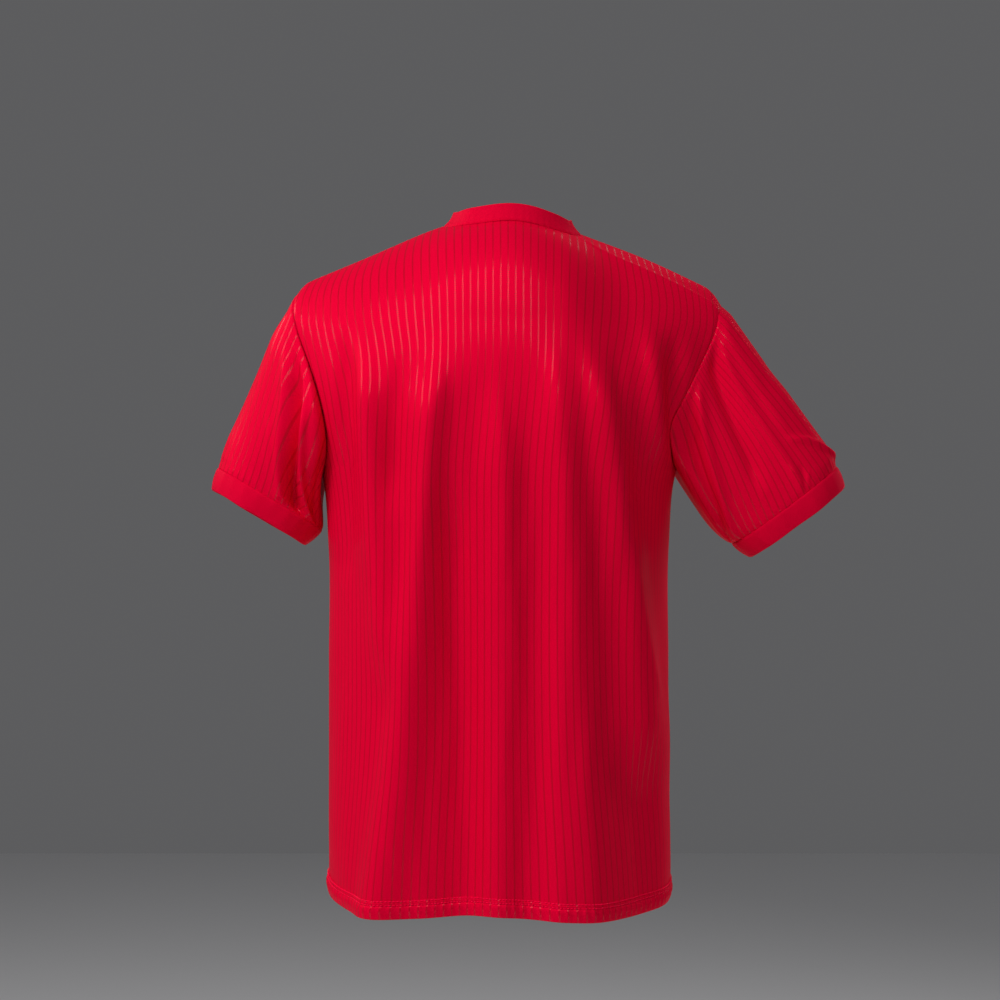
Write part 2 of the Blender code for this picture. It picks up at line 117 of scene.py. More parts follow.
# ---- The striped knit ----
# One satin polyester knit makes both panels and both sleeves. Every 7.9 mm a column of open,
# glossier stitches runs down the cloth: darker than the ground, and bright where it mirrors light.
KNIT_RED = (0.79, 0.0004, 0.034, 1)
KNIT_SHADE = (0.69, 0.0003, 0.028, 1)
STRIPE_RED = (0.60, 0.002, 0.024, 1)
STRIPE_PITCH = 0.0079
STRIPE_CORE = 0.00030        # half width of the column, and where its edge ends
STRIPE_EDGE = 0.00110
STITCH_RISE = 0.0021         # length of one open stitch down the column
WALE = 0.0009                # width and height of one plain stitch
COURSE = 0.0011
FLECK_SCALE = 700.0          # flecks of darker yarn, to the metre
STITCH_RELIEF = 0.012        # heights for the bump, millimetres: a plain stitch,
STRIPE_SUNK = 0.10           # the sunk column,
OPEN_RELIEF = 0.07           # and its open stitches
GROUND_ROUGH = 0.50          # roughness of the ground, and how much less the column has
STRIPE_SLEEK = 0.16
GROUND_METALLIC = 0.20       # satin lustre of the ground, and how much more the column has
STRIPE_METALLIC = 0.14
STRIPE_COAT = 0.05           # gloss of the column, and how much more its open stitches have
OPEN_COAT = 0.54


class Wire:
    """A socket in a material's node tree. Arithmetic on it adds the Math nodes that do it."""

    def __init__(self, tree, socket=None):
        self.tree = tree
        self.socket = socket

    def node(self, kind, settings, sockets, output=0):
        """Any node: its settings are set first, then the values or links of its sockets."""
        made = self.tree.nodes.new(kind)
        for key, value in settings.items():
            setattr(made, key, value)
        for key, value in sockets.items():
            if isinstance(value, Wire):
                self.tree.links.new(value.socket, made.inputs[key])
            else:
                made.inputs[key].default_value = value
        return Wire(self.tree, made.outputs[output])

    def math(self, operation, *values):
        """A Math node of values and sockets."""
        return self.node("ShaderNodeMath", {"operation": operation}, dict(enumerate(values)))

    def mix(self, share, low, high):
        """A colour from low, where share is 0, to high, where it is 1."""
        return self.node("ShaderNodeMix", {"data_type": "RGBA"}, {0: share, 6: low, 7: high}, 2)

    def step(self, start, end):
        """1 below start, 0 above end, with a soft edge between."""
        return self.node("ShaderNodeMapRange", {"interpolation_type": "SMOOTHSTEP"},
                         {"Value": self, "From Min": start, "From Max": end,
                          "To Min": 1.0, "To Max": 0.0})

    def wave(self, length):
        """A cosine wave from -1 to 1 over a distance."""
        return self.math("COSINE", self * (2 * np.pi / length))

    def __add__(self, other):
        return self.math("ADD", self, other)

    def __sub__(self, other):
        return self.math("SUBTRACT", self, other)

    def __mul__(self, other):
        return self.math("MULTIPLY", self, other)

    def __rsub__(self, other):
        return self.math("SUBTRACT", other, self)

    __radd__ = __add__
    __rmul__ = __mul__


def cloth_material(name):
    """A new material, its shader, and the place on the cut: as a vector, across and down."""
    material = bpy.data.materials.new(name)
    material.use_nodes = True
    tree = material.node_tree
    place = Wire(tree).node("ShaderNodeUVMap", {"uv_map": "cut"}, {})
    across = place.node("ShaderNodeSeparateXYZ", {}, {"Vector": place}, 0)
    down = place.node("ShaderNodeSeparateXYZ", {}, {"Vector": place}, 1)
    return material, tree.nodes["Principled BSDF"], place, across, down


def set_shader(wire, shader, links, values):
    """Link what varies to the shader's sockets, and set what doesn't on them."""
    for key, value in links.items():
        wire.tree.links.new(value.socket, shader.inputs[key])
    for key, value in values.items():
        shader.inputs[key].default_value = value


def knit_material():
    """Ground and stripe mixed by the distance to the nearest stripe column."""
    material, shader, place, across, down = cloth_material("red_knit_cloth")
    column = across.math("WRAP", across * (1 / STRIPE_PITCH), 0.5, -0.5)
    stripe = (across.math("ABSOLUTE", column) * STRIPE_PITCH).step(STRIPE_CORE, STRIPE_EDGE)
    open_stitch = down.wave(STITCH_RISE) * 0.5 + 0.5
    fleck = place.node("ShaderNodeTexNoise", {"noise_dimensions": "2D"},
                       {"Vector": place, "Scale": FLECK_SCALE, "Detail": 2.0})
    ground = place.mix(fleck, KNIT_RED, KNIT_SHADE)
    colour = place.mix(stripe, ground, STRIPE_RED)
    relief = (across.wave(WALE) * down.wave(COURSE) * STITCH_RELIEF
              - stripe * STRIPE_SUNK + stripe * open_stitch * OPEN_RELIEF)
    bump = place.node("ShaderNodeBump", {}, {"Strength": 0.8, "Distance": 0.001, "Height": relief})
    set_shader(place, shader, {
        "Base Color": colour,
        "Roughness": GROUND_ROUGH - stripe * STRIPE_SLEEK,
        "Metallic": stripe * STRIPE_METALLIC + GROUND_METALLIC,
        "Coat Weight": stripe * (open_stitch * OPEN_COAT + STRIPE_COAT),
        "Normal": bump,
    }, {
        "Specular IOR Level": 0.03,
        "Specular Tint": (1.0, 0.05, 0.12, 1),
        "Coat Roughness": 0.18,
        "Coat IOR": 1.5,
        "Coat Tint": (1.0, 0.75, 0.78, 1),
        "Sheen Weight": 0.03,
        "Sheen Roughness": 0.35,
        "Sheen Tint": (1.0, 0.02, 0.10, 1),
    })
    return material


knit = knit_material()


# ---- Back panel ----
# Cut from the knit with a shallow neck hole, sloping shoulders and curved armholes, and sewn to
# the front at the shoulders and sides. It hangs from the shoulder line in long soft folds, and its
# foot is turned up once and coverstitched.
BACK, FRONT = 1, -1
LEFT, RIGHT = 1, -1
KNIT_WALL = 0.0014
SEAM_GAP = 0.00002           # between two panels at a seam

# The cut.
CHEST_QUARTER = 0.2675       # half width of a panel
NECK_HALF = 0.0722           # half width of the neck hole, and how far left of the middle it is
NECK_SHIFT = -0.0045
NECK_SHARE = 0.32            # share of a panel's top that the neck hole takes
NECK_DROP = {BACK: 0.058, FRONT: 0.125}
TIP_HALF = {LEFT: 0.2215, RIGHT: 0.2245}
UNDERARM_DROP = 0.252
HEM_DROP = 0.708
HEM_RISE = 0.020             # how far the hem rises to the sides
HEM_LIFT = {BACK: (0.05, 0.27, 0.0075), FRONT: (-0.15, 0.30, 0.0050)}  # place, half width, rise

# The shoulder line: the slope of each side, how widely the two slopes round into each other, how
# far the foot of the collar stands up, and the bands over which the shoulders blend.
SHOULDER_SLOPE = {LEFT: 0.436, RIGHT: 0.520}
ROOF_ROUND = 0.07
COLLAR_STAND = {LEFT: 0.0040, RIGHT: -0.0042}
STAND_ROUND = 0.055
LEFT_BLEND = (-0.05, 0.05)
MIDDLE_BLEND = (0.05, 0.12)
BONE_HALF = 0.206            # past the shoulder bones the cloth droops by a square law,
DROOP = 35.0                 # less and less over this run
DROOP_RUN = 0.06

# The way the cloth takes up the body's shape below: how long the fall over the shoulders is, and
# over what run the girth settles; the body's sway to the left; the cloth's spread over the
# shoulder blades; and the waist of the cloth drawn in by the raised right arm.
FALL_END = 0.30
FALL_POINTS = 601
SETTLING = 0.17
SWAY = 0.0098
SWAY_DROPS = (0.12, 0.28)
SPREAD = 0.011
SPREAD_SPAN = (0.03, 0.18)
SPREAD_START = (0, 0.07)
SPREAD_STOP = (0.08, 0.18)
DRAWN_IN = 0.014
DRAWN_DROP = 0.150
DRAWN_HEIGHT = 0.060
DRAWN_SPAN = (0.09, 0.21)
DRAWN_START = (0, 0.03)
SIDE_FADE = (0.86, 0.98)     # shares of the half width over which folds die away at a side seam

# Lean of the cloth from the vertical in degrees, as it turns down over the shoulders.
# Columns: distance from the shoulder line, left shoulder, middle, right shoulder.
FALL = {
    BACK: np.array((
        (0.000, 89, 90, 87),
        (0.006, 85, 87, 68),
        (0.024, 70, 82, 55),
        (0.032, 65, 80, 36),
        (0.060, 46, 72, 30),
        (0.100, 27, 45, 24),
        (0.150, 12, 20, 14),
        (0.250, 0, 0, 0))),
    FRONT: np.array((
        (0.000, 89, 86, 89),
        (0.030, 68, 68, 70),
        (0.070, 44, 46, 46),
        (0.120, 26, 28, 26),
        (0.180, 12, 12, 12),
        (0.270, 0, 0, 0))),
}

# The body's sections. Columns: drop, half width, depth of the back, depth of the front,
# squareness (1 is round), share of the flat width that the middle of the panel takes up.
SECTIONS = np.array((
    (0.100, 0.2360, 0.118, 0.112, 2.0, 0.965),
    (0.170, 0.2220, 0.124, 0.120, 2.0, 0.940),
    (0.252, 0.1865, 0.127, 0.124, 1.7, 0.925),
    (0.330, 0.1785, 0.126, 0.123, 1.5, 0.910),
    (0.450, 0.1780, 0.124, 0.120, 1.5, 0.895),
    (0.550, 0.1780, 0.125, 0.121, 1.5, 0.920),
    (0.640, 0.1780, 0.128, 0.124, 1.5, 0.990),
    (0.720, 0.1765, 0.131, 0.127, 1.5, 1.040)))

# Cut of the armholes. Columns: share of the way from tip to underarm, half width.
ARMHOLE = {
    BACK: np.array(((0, 0.2195), (0.25, 0.2105), (0.5, 0.2050), (0.7, 0.2110),
                    (0.85, 0.2300), (1, 0.2675))),
    FRONT: np.array(((0, 0.2195), (0.25, 0.2030), (0.5, 0.1950), (0.7, 0.2030),
                     (0.85, 0.2260), (1, 0.2675))),
}

# Folds of the body, + a ridge and - a trough. Columns: drop of the head and of the foot,
# distance to the wearer's left at head, middle and foot, half width at head and foot, height as
# a share of the half width, length of its ends.
FOLDS = {
    BACK: (
        (0.11, 0.80, 0.0745, 0.0965, 0.1460, 0.014, 0.025, 0.90, 0.10),
        (0.22, 0.80, 0.0590, 0.0480, 0.0400, 0.016, 0.030, -0.52, 0.12),
        (0.14, 0.80, 0.0120, 0.0050, 0.0220, 0.019, 0.024, 0.56, 0.12),
        (0.11, 0.80, -0.0440, -0.0660, -0.0730, 0.014, 0.044, 0.64, 0.10),
        (0.36, 0.80, -0.0460, -0.0460, -0.0470, 0.011, 0.012, 0.36, 0.12),
        (0.10, 0.60, -0.0800, -0.1165, -0.1400, 0.014, 0.028, 0.72, 0.10),
        (0.50, 0.80, -0.1500, -0.1550, -0.1580, 0.016, 0.018, 0.34, 0.10),
        (0.10, 0.50, 0.1480, 0.1340, 0.1200, 0.012, 0.018, 0.78, 0.09),
        (0.09, 0.27, -0.1440, -0.1510, -0.1600, 0.010, 0.010, 0.55, 0.06),
        (0.10, 0.25, -0.1720, -0.1720, -0.1720, 0.010, 0.010, -0.70, 0.06),
        (0.31, 0.50, -0.1190, -0.1290, -0.1500, 0.006, 0.006, 0.25, 0.04),
        (0.10, 0.38, 0.1650, 0.1645, 0.1680, 0.009, 0.010, -0.60, 0.06),
        (0.13, 0.31, 0.1120, 0.1160, 0.1200, 0.009, 0.012, -0.45, 0.06)),
    FRONT: (
        (0.14, 0.80, 0.0620, 0.0780, 0.1040, 0.016, 0.034, 0.36, 0.10),
        (0.24, 0.70, 0.0300, 0.0360, 0.0500, 0.015, 0.018, -0.28, 0.08),
        (0.17, 0.80, -0.0080, -0.0040, 0.0040, 0.016, 0.022, 0.30, 0.10),
        (0.15, 0.80, -0.0660, -0.0800, -0.0980, 0.016, 0.034, 0.34, 0.10),
        (0.22, 0.66, -0.0360, -0.0420, -0.0500, 0.015, 0.018, -0.28, 0.08),
        (0.11, 0.40, 0.1260, 0.1360, 0.1480, 0.013, 0.013, 0.40, 0.08),
        (0.12, 0.42, -0.1240, -0.1340, -0.1500, 0.013, 0.013, 0.40, 0.08),
        (0.36, 0.80, 0.1380, 0.1400, 0.1360, 0.016, 0.018, 0.26, 0.08),
        (0.30, 0.52, 0.1040, 0.1120, 0.1280, 0.0065, 0.0065, 0.24, 0.05),
        (0.42, 0.66, -0.1120, -0.1180, -0.1300, 0.0070, 0.0070, 0.22, 0.05)),
}

# Slack between the folds: slow waves that swell and fade down the cloth, below the shoulders.
# Columns: length across, slant, height, start.
SLACK = (
    (0.0410, 0.10, 0.00050, 0.3),
    (0.0273, -0.14, 0.00034, 1.9),
    (0.0187, 0.07, 0.00018, 4.1),
)
SLACK_SWELL = 0.4            # share of the height that swells, and the length of a swell
SWELL_LENGTH = 0.23
SLACK_START = (0.09, 0.20)

# The crease along the right shoulder where the cloth bends over the edge of the shoulder.
SHOULDER_CREASE = 0.027      # distance from the seam
SHOULDER_CREASE_HALF = 0.0028
SHOULDER_CREASE_RISE = 0.0008
SHOULDER_CREASE_SPAN = (0.070, 0.085)    # where it starts, out from the middle

# The turned hem and the seams.
HEM_TURN = 0.018             # width of the turned band, where the upper row of stitches runs
HEM_ROWS = (0.0180, 0.0140)  # distance of the two rows of stitches from the edge
HEM_STEP = 0.0012            # thickness that the turned layer adds, and over what distance
HEM_STEP_RUN = 0.0012
HEM_GROOVE = 0.00085         # depth and half width of the line that a row of stitches pulls in
HEM_GROOVE_HALF = 0.0010
HEM_PUCKER = 0.00085         # height, place and reach of the puckers of the turned band
HEM_PUCKER_PLACE = 0.009
HEM_PUCKER_HALF = 0.007
HEM_BULGE = 0.0010           # the same of the bulge between its stitching and its edge
HEM_BULGE_PLACE = 0.0085
HEM_BULGE_HALF = 0.0045
HEM_FLARE = 0.0012           # slow waves of the hem's edge, how far up they reach, and their
HEM_FLARE_REACH = 0.020      # phase to the metre
HEM_FLARE_WAVE = 47
HEM_ROUND = 0.0005           # how far the very edge rounds in, and from where
HEM_ROUND_REACH = 0.0011
SEAM_DIP = 0.0007            # how far the cloth dips into a seam, and over what distance
SEAM_REACH = 0.0030


def smooth(x):
    """Rise from 0 to 1 with level ends: 3x squared less 2x cubed."""
    x = np.clip(x, 0.0, 1.0)
    return x * x * (3 - 2 * x)


def rise(x, span):
    """The same rise between the two ends of a span."""
    return smooth((x - span[0]) / (span[1] - span[0]))


def bell(x, half_width):
    """1 at zero, falling as the exponential of minus x squared."""
    return np.exp(-(x / half_width) ** 2)


def uneven(across, share, quick, slow, start):
    """A factor for puckers, at most 1: 1 less a share, plus the share times a quick and a slow
    cosine of the place across, whose phases grow by so much a metre."""
    return 1 - share + share * np.cos(across * quick + start) * np.cos(across * slow)


def through(table, column, x):
    """Cubic through one column of a table, its slopes those of the neighbouring rows."""
    at = table[:, 0]
    value = table[:, column]
    slope = np.gradient(value, at)
    x = np.clip(x, at[0], at[-1])
    i = np.clip(np.searchsorted(at, x, side="right") - 1, 0, len(at) - 2)
    step = at[i + 1] - at[i]
    u = (x - at[i]) / step
    start = (1 + 2 * u) * (1 - u) ** 2 * value[i] + u * (1 - u) ** 2 * step * slope[i]
    end = u ** 2 * (3 - 2 * u) * value[i + 1] + u ** 2 * (u - 1) * step * slope[i + 1]
    return start + end


GAUSS_AT, GAUSS_WEIGHT = np.polynomial.legendre.leggauss(12)


def turned(share, squareness):
    """Point of a unit-length curve whose direction turns a right angle as share to a power."""
    at = (GAUSS_AT + 1) / 2
    angle = np.pi / 2 * (share[..., None] * at) ** squareness[..., None]
    along = (np.cos(angle) * GAUSS_WEIGHT).sum(-1) / 2 * share
    aside = (np.sin(angle) * GAUSS_WEIGHT).sum(-1) / 2 * share
    return along, aside


def unit(vector):
    """The same direction with the length 1."""
    return vector / np.linalg.norm(vector, axis=-1, keepdims=True)


def roof(across):
    """Drop and lean of the shoulder line over a grain line: two slopes rounded into each other."""
    x = across - NECK_SHIFT
    slope = (SHOULDER_SLOPE[RIGHT]
             + (SHOULDER_SLOPE[LEFT] - SHOULDER_SLOPE[RIGHT]) * rise(x, LEFT_BLEND))
    reach = np.hypot(x, ROOF_ROUND)
    drop = slope * (reach - np.hypot(NECK_HALF, ROOF_ROUND))
    stand = sum(raised_by * bell(x - side * NECK_HALF, STAND_ROUND)
                for side, raised_by in COLLAR_STAND.items())
    return drop - stand, np.arctan(slope * x / reach)


def over_shoulder(face, across, distance):
    """Share of the full depth, and drop, at a distance from the shoulder line: sums of the
    sine and cosine of the lean along the cloth, blended between the shoulders and the middle."""
    table = FALL[face]
    at = np.linspace(0, FALL_END, FALL_POINTS)
    middle = 1 - rise(np.abs(across - NECK_SHIFT), MIDDLE_BLEND)
    left = rise(across - NECK_SHIFT, LEFT_BLEND)
    depth, drop = 0, 0
    for column, weight in ((1, left * (1 - middle)), (2, middle), (3, (1 - left) * (1 - middle))):
        lean = np.radians(np.interp(at, table[:, 0], table[:, column]))
        out = np.cumsum(np.sin(lean)) * at[1]
        down = np.cumsum(np.cos(lean)) * at[1]
        depth = depth + weight * np.interp(distance, at, out) / out[-1]
        drop = drop + weight * np.interp(distance, at, down)
    return depth, drop + np.maximum(distance - FALL_END, 0)


def bare_body(face, across, down):
    """Worn place of a point of the cut, before folds: over the shoulder by its lean, then round
    the body's section at the drop it reaches."""
    roof_drop, lean = roof(across)
    distance = np.maximum((down - roof_drop) * np.cos(lean), 0)
    share, fallen = over_shoulder(face, across, distance)
    spent = distance - fallen
    drop = down - spent * np.cos(lean)
    half, depth, squareness, gather = (
        through(SECTIONS, i, drop) for i in (1, 2 if face == BACK else 3, 4, 5))
    full_along, full_aside = turned(np.ones_like(across), squareness)
    quarter = half / full_along
    x = np.abs(across)
    taken = gather + (quarter / CHEST_QUARTER - gather) * np.minimum(x / CHEST_QUARTER, 1) ** 3
    settled = smooth(distance / SETTLING)
    spread = SPREAD * rise(x, SPREAD_SPAN) * rise(distance, SPREAD_START)
    spread = spread * (1 - rise(distance, SPREAD_STOP))
    girth = x * (1 + (taken - 1) * settled) + spread
    along, aside = turned(np.clip(girth / quarter, 0, 1), squareness)
    worn_x = girth + (half * along / full_along - girth) * settled
    worn_y = depth * (1 - aside / full_aside) * share
    worn_x = np.sign(across) * worn_x + SWAY * rise(drop, SWAY_DROPS)
    drawn_in = DRAWN_IN * bell(drop - DRAWN_DROP, DRAWN_HEIGHT)
    worn_x = worn_x + drawn_in * rise(-across, DRAWN_SPAN) * rise(distance, DRAWN_START)
    droop = DROOP * np.maximum(x - BONE_HALF, 0) ** 2 * (1 - smooth(distance / DROOP_RUN))
    return np.stack((worn_x, face * worn_y, -drop - droop), -1)


def fold_height(face, x, drop):
    """Sum of folds, each a bell across a parabola through three points and faded at both ends,
    and of the slack between them, a few slanting cosine waves."""
    total = np.zeros_like(x)
    for head, foot, x_head, x_middle, x_foot, w_head, w_foot, height, ends in FOLDS[face]:
        t = (drop - head) / (foot - head)
        line = (x_head * (1 - t) * (1 - 2 * t) + 4 * x_middle * t * (1 - t)
                + x_foot * t * (2 * t - 1))
        faded = smooth((drop - head) / ends) * smooth((foot - drop) / ends)
        half_width = w_head + (w_foot - w_head) * np.clip(t, 0, 1)
        total += height * half_width * faded * bell(x - line, half_width)
    for length, slant, height, start in SLACK:
        phase = 2 * np.pi * (x + slant * drop) / length + start + face
        swell = 1 - SLACK_SWELL + SLACK_SWELL * np.cos(2 * np.pi * drop / SWELL_LENGTH + start * 2)
        total += height * swell * np.cos(phase) * rise(drop, SLACK_START)
    return total


def body(face, across, down, relief=0):
    """Worn place with the folds, and a relief of its own, raised square to the cloth."""
    step = 0.002
    place = bare_body(face, across, down)
    along = bare_body(face, across + step, down) - bare_body(face, across - step, down)
    fall = bare_body(face, across, down + step) - place
    normal = face * unit(np.cross(along, fall))
    side_fade = 1 - rise(np.abs(across) / CHEST_QUARTER, SIDE_FADE)
    height = fold_height(face, place[..., 0], -place[..., 2]) * side_fade + relief
    return place + normal * height[..., None]


def top_edge(face, c):
    """Cut of a panel's top, c from -1 to 1: half an ellipse for the neck, then the shoulders."""
    sign = np.where(c < 0, -1.0, 1.0)
    part = np.minimum(np.abs(c) / NECK_SHARE, 1) * np.pi / 2
    neck_point = NECK_SHIFT + sign * NECK_HALF
    tip = np.where(c < 0, -TIP_HALF[RIGHT], TIP_HALF[LEFT])
    past = np.maximum(np.abs(c) - NECK_SHARE, 0) / (1 - NECK_SHARE)
    across = NECK_SHIFT + sign * NECK_HALF * np.sin(part) + (tip - neck_point) * past
    drop, lean = roof(across)
    return across, drop + NECK_DROP[face] * np.cos(part) / np.cos(lean)


def hem_drop(face, c):
    """Worn height of the hem: it rises as c cubed to the sides, and by a bell of its own."""
    middle, half_width, lift = HEM_LIFT[face]
    return HEM_DROP - HEM_RISE * np.abs(c) ** 3 - lift * bell(c - middle, half_width)


def cut(face, c, r):
    """Flat place of a panel's point: c across from -1 to 1, r down, 1 at the underarms and 2 at
    the hem. The grain lines follow the armhole at c = 1 or -1 and run straighter inside."""
    top_across, top_down = top_edge(face, c)
    share = np.clip(r, 0, 1)
    reach = np.sin(np.pi / 2 * share)

    def grain(arm_half):
        return c * (CHEST_QUARTER + (arm_half - CHEST_QUARTER) * c ** 2)
    across = grain(through(ARMHOLE[face], 1, share))
    across = across + (1 - reach) * (top_across - grain(ARMHOLE[face][0, 1]))
    fallen = over_shoulder(face, across, np.full_like(across, FALL_END))[1]
    spent = (FALL_END - fallen) * np.cos(roof(across)[1])
    down = top_down + (UNDERARM_DROP + spent - top_down) * reach
    return across, down + (hem_drop(face, c) - UNDERARM_DROP) * np.clip(r - 1, 0, 1)


def panel_relief(face, c, r, across, down):
    """Height of the seams' dips, the shoulder crease and the turned hem, by the distance to
    each edge: bells at the seams, stitch rows and bulge, a step for the turned layer, a cosine
    with one wave to a stripe for its puckers, and a slow one for the flare of its edge."""
    from_side = (1 - np.abs(c)) * CHEST_QUARTER
    roof_drop, lean = roof(across)
    from_shoulder = (down - roof_drop) * np.cos(lean)
    from_top = down - top_edge(face, c)[1]
    from_hem = (hem_drop(face, c) - UNDERARM_DROP) * (2 - np.clip(r, 1, 2))
    dip = bell(from_side, SEAM_REACH) + bell(from_top, SEAM_REACH)
    relief = -SEAM_DIP * np.minimum(dip, 1)
    if face == BACK:
        crease = bell(from_shoulder - SHOULDER_CREASE, SHOULDER_CREASE_HALF)
        relief = relief + SHOULDER_CREASE_RISE * crease * rise(-across, SHOULDER_CREASE_SPAN)
    turned_up = rise(-from_hem, (-HEM_TURN - HEM_STEP_RUN, -HEM_TURN))
    groove = sum(bell(from_hem - row, HEM_GROOVE_HALF) for row in HEM_ROWS)
    pucker = np.cos(2 * np.pi * across / STRIPE_PITCH) * uneven(across, 0.4, 61, 23, 2)
    pucker = pucker * bell(from_hem - HEM_PUCKER_PLACE, HEM_PUCKER_HALF)
    relief = relief + HEM_STEP * turned_up - HEM_GROOVE * groove + HEM_PUCKER * pucker
    relief = relief + HEM_BULGE * bell(from_hem - HEM_BULGE_PLACE, HEM_BULGE_HALF)
    flare = HEM_FLARE * np.cos(across * HEM_FLARE_WAVE + face) * bell(from_hem, HEM_FLARE_REACH)
    return relief + flare - HEM_ROUND * bell(from_hem, HEM_ROUND_REACH)


def panel_place(face, c, r):
    """Worn place and cut of a panel's points, with all its relief."""
    across, down = cut(face, c, r)
    relief = panel_relief(face, c, r, across, down)
    return body(face, across, down + SEAM_GAP / 2, relief), np.stack((across, down), -1)


def cloth_piece(name, rows, flat_place, wall, material):
    """A piece from a grid of places, outside outwards, with its cut as a UV map in metres, and
    thickened inwards by the wall. Where the cut has one more column or row, the grid joins up."""
    count, width = rows.shape[:2]
    row = np.arange(flat_place.shape[0] - 1)[:, None]
    column = np.arange(flat_place.shape[1] - 1)[None, :]
    corners = ((row, column), (row + 1, column), (row + 1, column + 1), (row, column + 1))
    faces = np.stack([i % count * width + j % width for i, j in corners], -1)
    flat_index = np.stack([i * flat_place.shape[1] + j for i, j in corners], -1)
    mesh = bpy.data.meshes.new(name)
    mesh.from_pydata(rows.reshape(-1, 3).tolist(), [], faces.reshape(-1, 4).tolist())
    layer = mesh.uv_layers.new(name="cut")
    layer.data.foreach_set("uv", flat_place.reshape(-1, 2)[flat_index.ravel()].ravel())
    mesh.materials.append(material)
    mesh.shade_smooth()
    piece = bpy.data.objects.new(name, mesh)
    scene.collection.objects.link(piece)
    if wall:
        thickness = piece.modifiers.new("wall", "SOLIDIFY")
        thickness.thickness = wall
        thickness.offset = -1
    return piece


def flat_area(flat_place):
    """Area of a cut from its grid: half the cross product of each cell's diagonals."""
    one = flat_place[1:, 1:] - flat_place[:-1, :-1]
    other = flat_place[1:, :-1] - flat_place[:-1, 1:]
    return float(np.abs(one[..., 0] * other[..., 1] - one[..., 1] * other[..., 0]).sum() / 2)


# Distances of the closest columns and rows from a panel's side and top edges and of the closest
# rows from its hem, metres; the rough length of a panel from its top edge to the underarms; and
# the shares of it where the close rows over the shoulders start and end.
EDGE_STEPS = np.array((0, 0.0010, 0.0020, 0.0032, 0.0047))
HEM_STEPS = np.concatenate((np.linspace(0.024, 0.012, 13), np.linspace(0.0108, 0.0012, 9),
                            (0.0006, 0)))
ARM_LENGTH = 0.30
SHOULDER_REACH = (0.022, 0.15)


def panel(name, face, columns, shoulder_rows, arm_rows, body_rows):
    """A body panel on a grid that is closer at its seams, over the shoulders and at the hem."""
    inner = np.linspace(-1, 1, columns + 2)[1:-1] * (1 - EDGE_STEPS[-1] / CHEST_QUARTER)
    near = 1 - EDGE_STEPS / CHEST_QUARTER
    c = np.concatenate((-near, inner, near[::-1])) * (1 - SEAM_GAP / 2 / CHEST_QUARTER)
    reach = np.concatenate((EDGE_STEPS / ARM_LENGTH, np.linspace(*SHOULDER_REACH, shoulder_rows),
                            np.linspace(SHOULDER_REACH[1], 1, arm_rows)[1:]))
    arm = np.arcsin(np.clip(reach, 0, 1)) * 2 / np.pi
    hem = 2 - HEM_STEPS / (HEM_DROP - UNDERARM_DROP)
    r = np.concatenate((arm, np.linspace(1, hem[0], body_rows)[1:-1], hem))
    rows, flat_place = panel_place(face, *np.meshgrid(c, r))
    piece = cloth_piece(name, rows[:, ::-face], flat_place[:, ::-face], KNIT_WALL, knit)
    span = np.ptp(flat_place, axis=(0, 1))
    return piece, (float(span[0]), float(span[1])), flat_area(flat_place)


back, back_flat, back_area = panel("back_cloth", BACK, 270, 16, 50, 70)
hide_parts("back_panel")
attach(back, "root")


# ---- Front panel ----
# The same cut and knit with a deeper neck hole, seamed to the back all round but at the neck and
# the hem. It is plain: no crest, number or lettering.
front, front_flat, front_area = panel("front_cloth", FRONT, 230, 14, 46, 66)
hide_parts("front_panel")
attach(front, "root")


# ---- Hem stitching ----
# Two rows of coverstitch in matching thread hold the turned hem: short raised dashes, each pulled
# down into the cloth at its ends, all the way round at the same two distances from the edge.
STITCH_PITCH = 0.0031
STITCH_HALF = 0.00135        # half length of a dash, and its distance from the side seam
STITCH_CLEAR = 0.0012
THREAD_HALF = 0.00050        # half thickness of the thread
# Colour of the thread: the knit's red, made brighter as painted highlight for the glints on the
# dashes.
THREAD_RED_AND_GLINT = (0.95, 0.002, 0.060, 1)
TWIST = 0.0011               # length of one twist of the thread, and its height for the bump
TWIST_RELIEF = 0.3
ARCH_TOP = 1.25              # height of a dash's middle over the cloth, in half thicknesses
ARCH_FALL = 0.9              # how much lower its ends are, in the same
GROOVE_LIFT = 0.35           # how far all of it is lifted, as a share of the groove's depth
DASH_ROUND = 1.02            # square of its middle radius; a little over 1, so no end is a point
RING = 6                     # points round a dash, and places along it
PLACES = 5


def thread_material():
    """Plain twisted thread of the knit's red, a little brighter than the knit: painted highlight
    for the glints on its dashes.
    """
    material, shader, place, across, down = cloth_material("red_thread_and_painted_glint")
    twist = (across + down).wave(TWIST) * TWIST_RELIEF
    bump = place.node("ShaderNodeBump", {}, {"Strength": 0.4, "Distance": 0.0003, "Height": twist})
    set_shader(place, shader, {"Normal": bump}, {
        "Base Color": THREAD_RED_AND_GLINT, "Roughness": 0.42, "Specular IOR Level": 0.15,
        "Specular Tint": (1.0, 0.15, 0.2, 1)})
    return material


